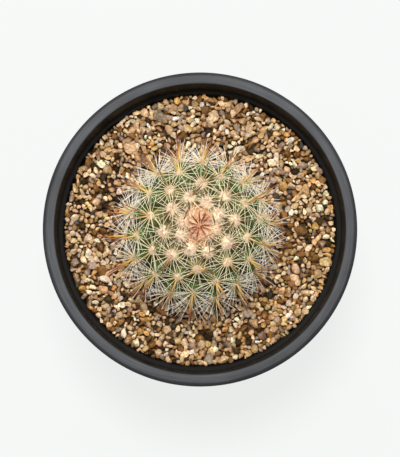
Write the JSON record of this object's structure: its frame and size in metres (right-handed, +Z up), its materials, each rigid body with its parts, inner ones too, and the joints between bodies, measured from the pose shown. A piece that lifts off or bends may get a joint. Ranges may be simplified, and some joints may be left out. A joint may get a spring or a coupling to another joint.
{
  "type": "potted round cactus",
  "caption": "Round cactus with tubercles in spirals, wool cushions, fans of white spines and longer brown central spines, rooted in a round black nursery pot under gravel.",
  "frame": {"origin": "centre of the pot's base, on the surface it stands on", "axes": "+Z up along the pot's axis; +X to the right and +Y away from a viewer who looks down on the plant; the plant leans slightly towards +X and +Y"},
  "size_m": [0.11, 0.11, 0.1177],
  "materials": {
    "pot_plastic": "satin",
    "potting_soil": "matte",
    "gravel_stone": "matte",
    "cactus_skin": "satin",
    "spine_wool": "matte"
  },
  "bodies": {
    "root": {"pot": "pot_plastic", "soil": "potting_soil", "gravel": "gravel_stone", "cactus": "cactus_skin"}
  },
  "joints": []
}
